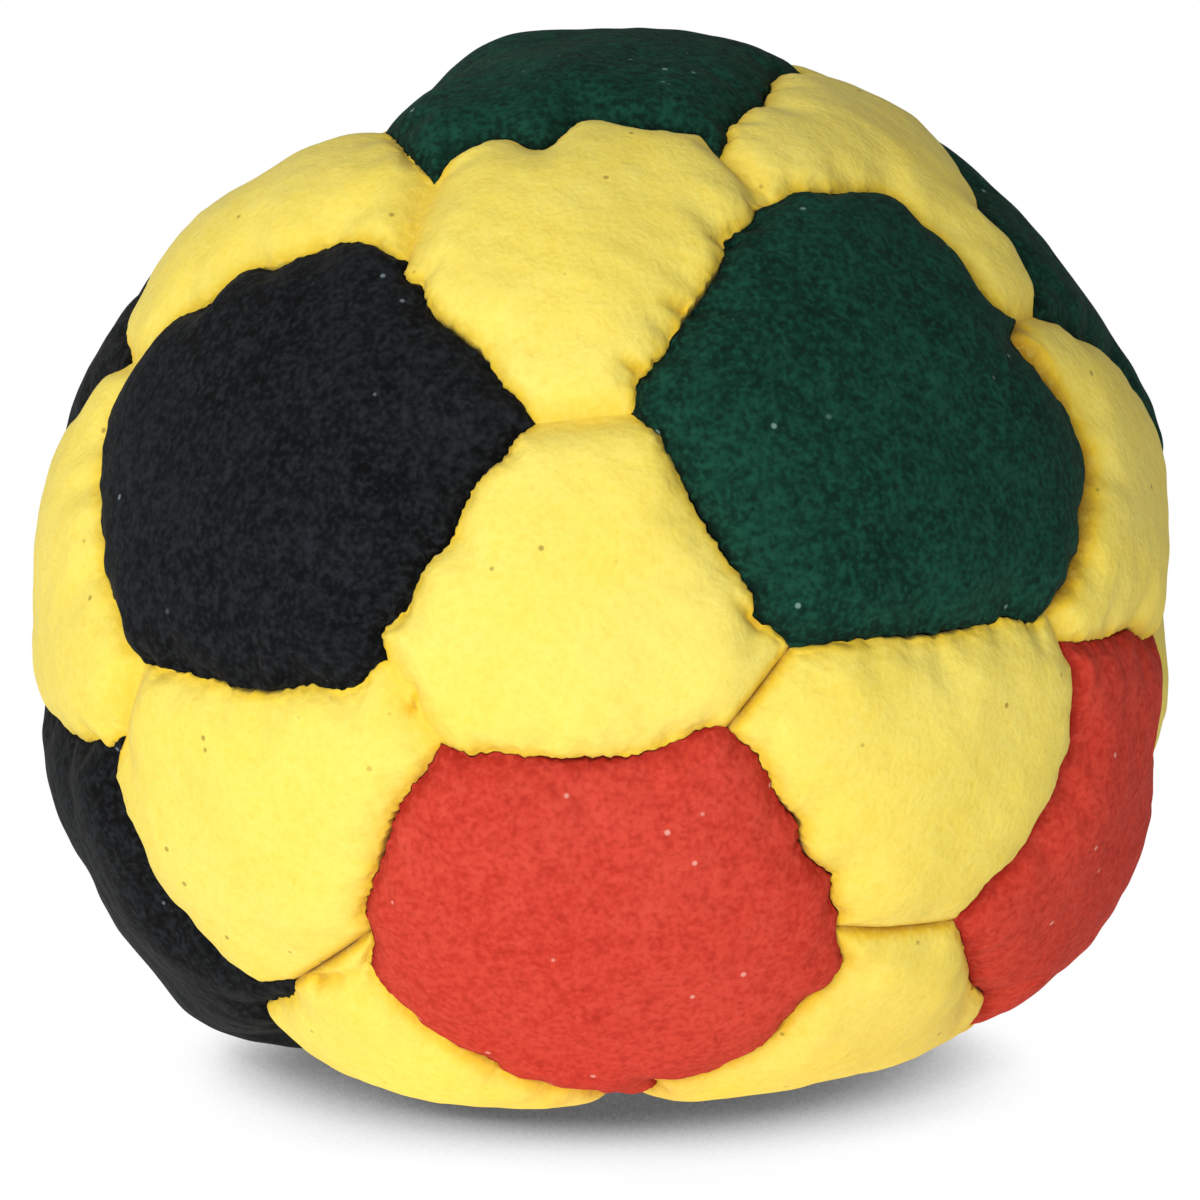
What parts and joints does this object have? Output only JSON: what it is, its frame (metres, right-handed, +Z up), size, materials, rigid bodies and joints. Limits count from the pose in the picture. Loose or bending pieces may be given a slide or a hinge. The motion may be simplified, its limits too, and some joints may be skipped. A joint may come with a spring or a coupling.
{
  "type": "footbag",
  "caption": "Soft stitched suede footbag: black, green and red pentagon panels among yellow hexagon panels, filled with loose pellets and lying on its pressed-in bottom.",
  "frame": {"origin": "on the floor under the ball's middle, on the pressed-in flat that it rests on", "axes": "+Z up, -Y towards the side seen in the picture, +X to its right"},
  "size_m": [0.0528, 0.0532, 0.0473],
  "materials": {
    "suede_black": "napped suede, matte",
    "suede_green": "napped suede, matte",
    "suede_red": "napped suede, matte",
    "suede_yellow": "napped suede, matte",
    "thread": "waxed polyester thread",
    "pellets": "moulded plastic pellets"
  },
  "bodies": {
    "root": {"green_top_pentagon": "suede_green", "red_base_pentagon": "suede_red", "black_front_left_pentagon": "suede_black", "green_front_right_pentagon": "suede_green", "green_right_pentagon": "suede_green", "red_back_pentagon": "suede_red", "black_left_pentagon": "suede_black", "red_front_pentagon": "suede_red", "red_right_pentagon": "suede_red", "black_back_right_pentagon": "suede_black", "green_back_left_pentagon": "suede_green", "black_lower_left_pentagon": "suede_black", "yellow_top_front_hexagon": "suede_yellow", "yellow_top_right_hexagon": "suede_yellow", "yellow_top_back_right_hexagon": "suede_yellow", "yellow_top_back_left_hexagon": "suede_yellow", "yellow_top_left_hexagon": "suede_yellow", "yellow_front_hexagon": "suede_yellow", "yellow_right_hexagon": "suede_yellow", "yellow_back_right_hexagon": "suede_yellow", "yellow_back_left_hexagon": "suede_yellow", "yellow_left_hexagon": "suede_yellow", "yellow_front_right_hexagon": "suede_yellow", "yellow_right_back_hexagon": "suede_yellow", "yellow_back_hexagon": "suede_yellow", "yellow_left_back_hexagon": "suede_yellow", "yellow_front_left_hexagon": "suede_yellow", "yellow_base_front_right_hexagon": "suede_yellow", "yellow_base_right_hexagon": "suede_yellow", "yellow_base_back_hexagon": "suede_yellow", "yellow_base_left_hexagon": "suede_yellow", "yellow_base_front_left_hexagon": "suede_yellow", "seam_thread": "thread", "pellet_fill": "pellets"}
  },
  "joints": []
}
